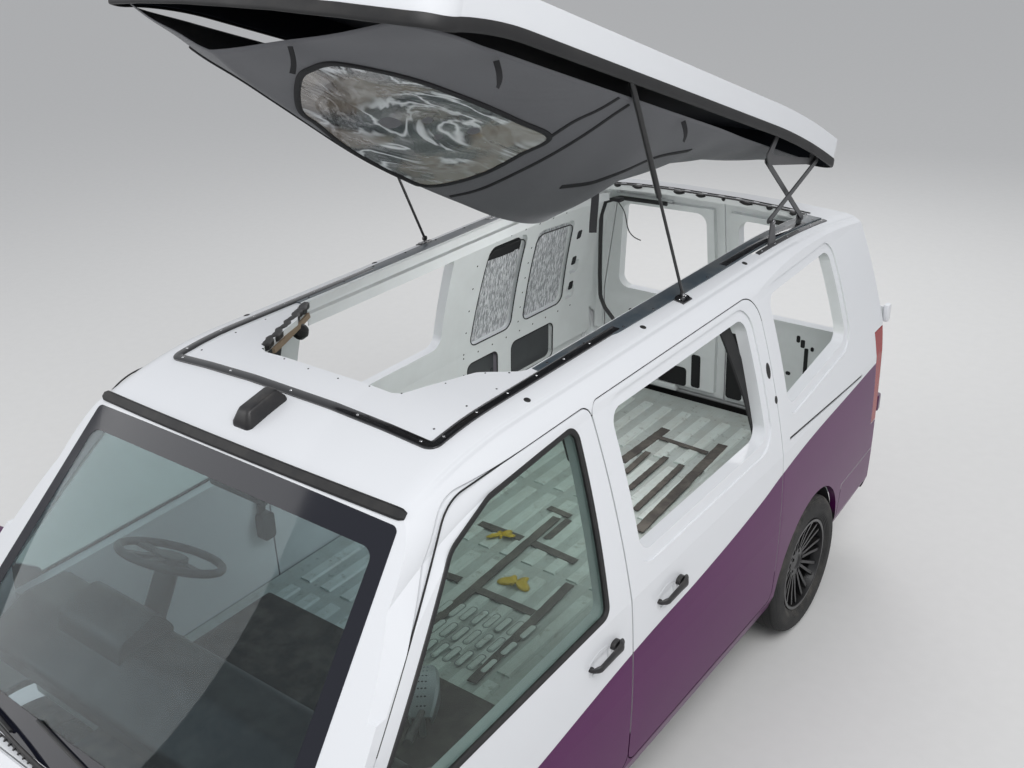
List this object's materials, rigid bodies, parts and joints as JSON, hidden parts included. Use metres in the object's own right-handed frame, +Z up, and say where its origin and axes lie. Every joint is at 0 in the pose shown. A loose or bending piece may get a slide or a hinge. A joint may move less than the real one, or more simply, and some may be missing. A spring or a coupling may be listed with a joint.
{
  "type": "camper van with raised pop-top roof",
  "caption": "Short panel van part-way through becoming a camper, with a raised pop-top roof, hinged doors, steered front wheels and unglazed side windows.",
  "frame": {"origin": "on the ground at the middle of the van's length and width", "axes": "+X to the vehicle's left, +Y to the rear, +Z up; the front faces -Y"},
  "size_m": [2.296, 4.904, 3.2943],
  "materials": {
    "white_paint": "gloss",
    "lower_paint": "gloss",
    "black_plastic": "satin",
    "glass": "gloss",
    "lamp_lens": "gloss",
    "floor_metal": "satin",
    "cast_metal": "matte",
    "steel": "satin",
    "aluminium": "satin",
    "strut_paint": "satin",
    "wheel_paint": "gloss",
    "tyre": "matte",
    "cloth": "matte"
  },
  "bodies": {
    "van": {"floor_pan": "floor_metal", "side_panel_left": "white_paint", "side_panel_right": "white_paint", "sliding_door": "white_paint", "roof_panel": "white_paint", "roof_trim": "black_plastic", "cab_frame": "white_paint", "windscreen": "glass", "front_wings": "white_paint", "front_bumper": "lower_paint", "grille": "black_plastic", "headlamps": "lamp_lens", "dashboard": "black_plastic", "interior_mirror": "black_plastic", "rear_bumper": "black_plastic", "tail_lamps": "lamp_lens", "aerial_base": "black_plastic", "hinge_rails": "aluminium", "engine_block": "cast_metal", "front_subframe": "floor_metal", "rear_axle": "floor_metal", "fuel_tank": "black_plastic", "exhaust": "steel", "loose_cable": "black_plastic", "cable_clip": "black_plastic"},
    "door_front_left": {"door_left": "white_paint", "door_glass_left": "glass", "door_mirror_left": "lower_paint"},
    "door_front_right": {"door_right": "white_paint", "door_glass_right": "glass", "door_mirror_right": "lower_paint"},
    "door_rear_left": {"rear_door_left": "white_paint"},
    "door_rear_right": {"rear_door_right": "white_paint"},
    "bonnet_lid": {"bonnet": "white_paint"},
    "knuckle_front_left": {"knuckle_left": "cast_metal"},
    "knuckle_front_right": {"knuckle_right": "cast_metal"},
    "steering": {"steering_wheel": "black_plastic"},
    "lift_arms": {"lifting_arms": "aluminium"},
    "roof_shell": {"pop_top": "white_paint", "roof_rails": "aluminium", "canvas": "cloth"},
    "props": {"prop_arms": "aluminium"},
    "tubes": {"strut_tubes": "strut_paint"},
    "rods": {"strut_rods": "steel"},
    "wheel_fl": {"wheel_front_left": "wheel_paint", "tyre_front_left": "tyre"},
    "wheel_fr": {"wheel_front_right": "wheel_paint", "tyre_front_right": "tyre"},
    "wheel_rl": {"wheel_rear_left": "wheel_paint", "tyre_rear_left": "tyre"},
    "wheel_rr": {"wheel_rear_right": "wheel_paint", "tyre_rear_right": "tyre"}
  },
  "joints": [
    {"name": "front_door_left_hinge", "type": "hinge", "parent": "van", "child": "door_front_left", "pos_m": [0.943, -1.503, 1], "axis": [0, 0, 1], "range_deg": [-65, 0]},
    {"name": "rear_door_left_hinge", "type": "hinge", "parent": "van", "child": "door_rear_left", "pos_m": [0.862, 2.414, 1], "axis": [0, 0, 1], "range_deg": [-170, 0]},
    {"name": "steer_left", "type": "hinge", "parent": "van", "child": "knuckle_front_left", "pos_m": [0.752, -1.544, 0.345], "axis": [0, 0, 1], "range_deg": [-33, 33]},
    {"name": "front_wheel_left_spin", "type": "hinge", "parent": "knuckle_front_left", "child": "wheel_fl", "pos_m": [0.814, -1.544, 0.345], "axis": [1, 0, 0], "continuous": true},
    {"name": "rear_wheel_left_spin", "type": "hinge", "parent": "van", "child": "wheel_rl", "pos_m": [0.814, 1.456, 0.345], "axis": [1, 0, 0], "continuous": true},
    {"name": "front_door_right_hinge", "type": "hinge", "parent": "van", "child": "door_front_right", "pos_m": [-0.943, -1.503, 1], "axis": [0, 0, 1], "range_deg": [0, 65]},
    {"name": "rear_door_right_hinge", "type": "hinge", "parent": "van", "child": "door_rear_right", "pos_m": [-0.862, 2.414, 1], "axis": [0, 0, 1], "range_deg": [0, 170]},
    {"name": "steer_right", "type": "hinge", "parent": "van", "child": "knuckle_front_right", "pos_m": [-0.752, -1.544, 0.345], "axis": [0, 0, 1], "range_deg": [-33, 33]},
    {"name": "front_wheel_right_spin", "type": "hinge", "parent": "knuckle_front_right", "child": "wheel_fr", "pos_m": [-0.814, -1.544, 0.345], "axis": [1, 0, 0], "continuous": true},
    {"name": "rear_wheel_right_spin", "type": "hinge", "parent": "van", "child": "wheel_rr", "pos_m": [-0.814, 1.456, 0.345], "axis": [1, 0, 0], "continuous": true},
    {"name": "bonnet_hinge", "type": "hinge", "parent": "van", "child": "bonnet_lid", "pos_m": [0, -1.896, 1.128], "axis": [1, 0, 0], "range_deg": [-50, 0]},
    {"name": "steering_wheel_turn", "type": "hinge", "parent": "van", "child": "steering", "pos_m": [-0.39, -1.122, 1.322], "axis": [0, 0.5, 0.866], "range_deg": [-470, 470]},
    {"name": "roof_lift", "type": "hinge", "parent": "van", "child": "lift_arms", "pos_m": [0, 1.394, 2.047], "axis": [1, 0, 0], "range_deg": [-33.73, 0], "deforming": ["canvas"]},
    {"name": "roof_tilt", "type": "hinge", "parent": "lift_arms", "child": "roof_shell", "pos_m": [0, 1.881, 2.21], "axis": [1, 0, 0], "range_deg": [0, 54]},
    {"name": "prop_swing", "type": "hinge", "parent": "van", "child": "props", "pos_m": [0, 1.818, 1.95], "axis": [1, 0, 0], "range_deg": [0, 47]},
    {"name": "strut_swing", "type": "hinge", "parent": "roof_shell", "child": "tubes", "pos_m": [0, 0.191, 2.862], "axis": [1, 0, 0], "range_deg": [0, 47]},
    {"name": "strut_stroke", "type": "slide", "parent": "tubes", "child": "rods", "axis": [0, 0.4202, -0.9074], "range_m": [-0.462, 0]}
  ],
  "couplings": [
    {"joint": "steer_right", "follows": "steer_left", "ratio": 1},
    {"joint": "steering_wheel_turn", "follows": "steer_left", "ratio": 14},
    {"joint": "roof_tilt", "follows": "roof_lift", "ratio": -1.5723},
    {"joint": "prop_swing", "follows": "roof_lift", "ratio": -1.3639},
    {"joint": "strut_swing", "follows": "roof_lift", "ratio": -1.3564},
    {"joint": "strut_stroke", "follows": "roof_lift", "m_per_rad": 0.78018}
  ]
}
